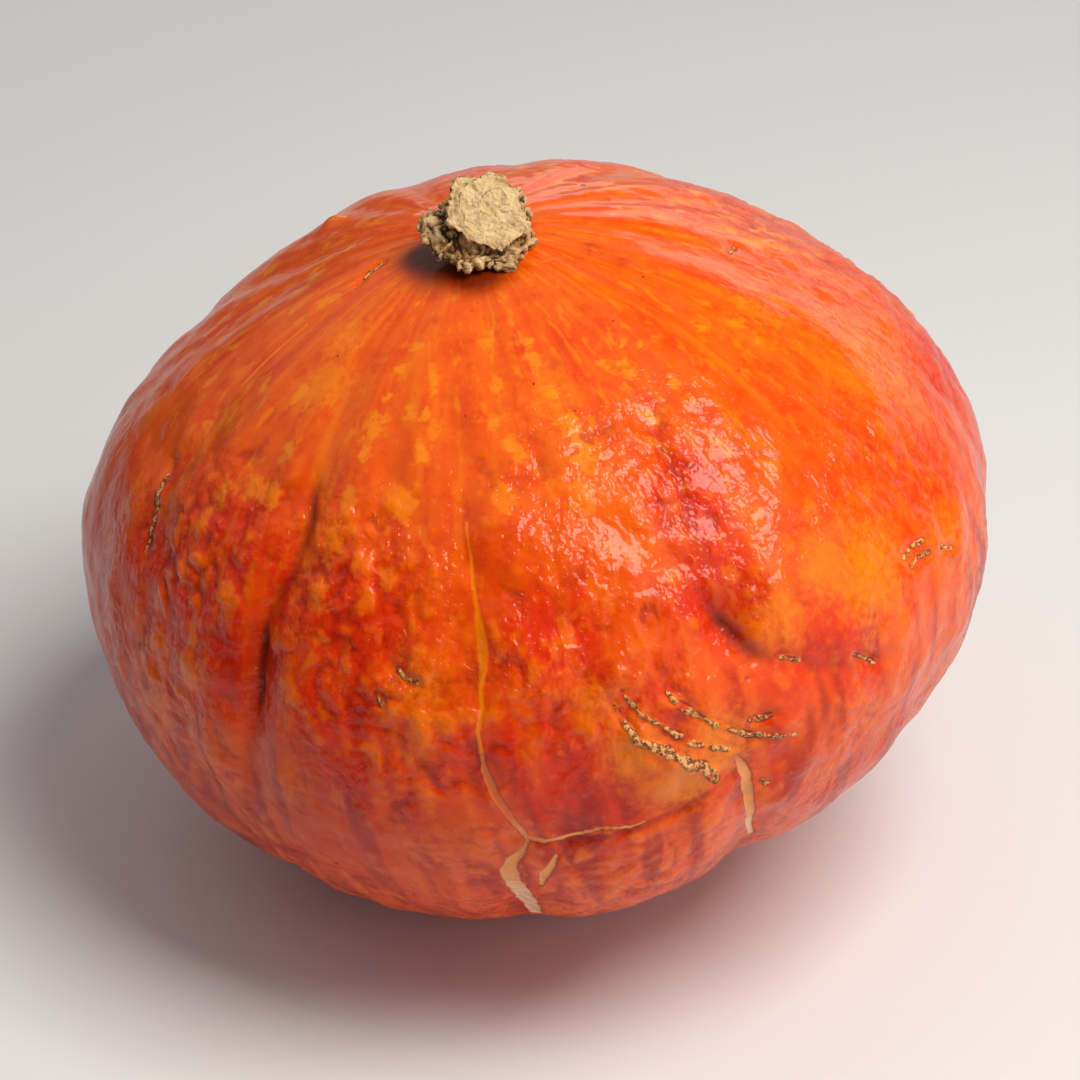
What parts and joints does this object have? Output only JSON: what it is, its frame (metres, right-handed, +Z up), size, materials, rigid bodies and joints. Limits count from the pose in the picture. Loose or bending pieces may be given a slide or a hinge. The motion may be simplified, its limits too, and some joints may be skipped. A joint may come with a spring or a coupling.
{
  "type": "red kuri squash",
  "caption": "Whole ribbed onion-shaped winter squash with a corky stem stub, raised scars and a swollen blossom end that it rests on; produce or decor prop.",
  "frame": {"origin": "on the ground, in the middle of the flat spot that the squash rests on, under the centre of its bounding box", "axes": "+Z up, from the blossom end towards the stem; -Y is the front, which has the deep furrow and the corky scars"},
  "size_m": [0.1788, 0.1802, 0.1492],
  "materials": {
    "skin": "hard, waxy, semi-gloss rind in deep orange-red with lighter orange flecks",
    "cork": "dry, rough, corky tan"
  },
  "bodies": {
    "root": {"fruit": "skin", "stem": "cork"}
  },
  "joints": []
}
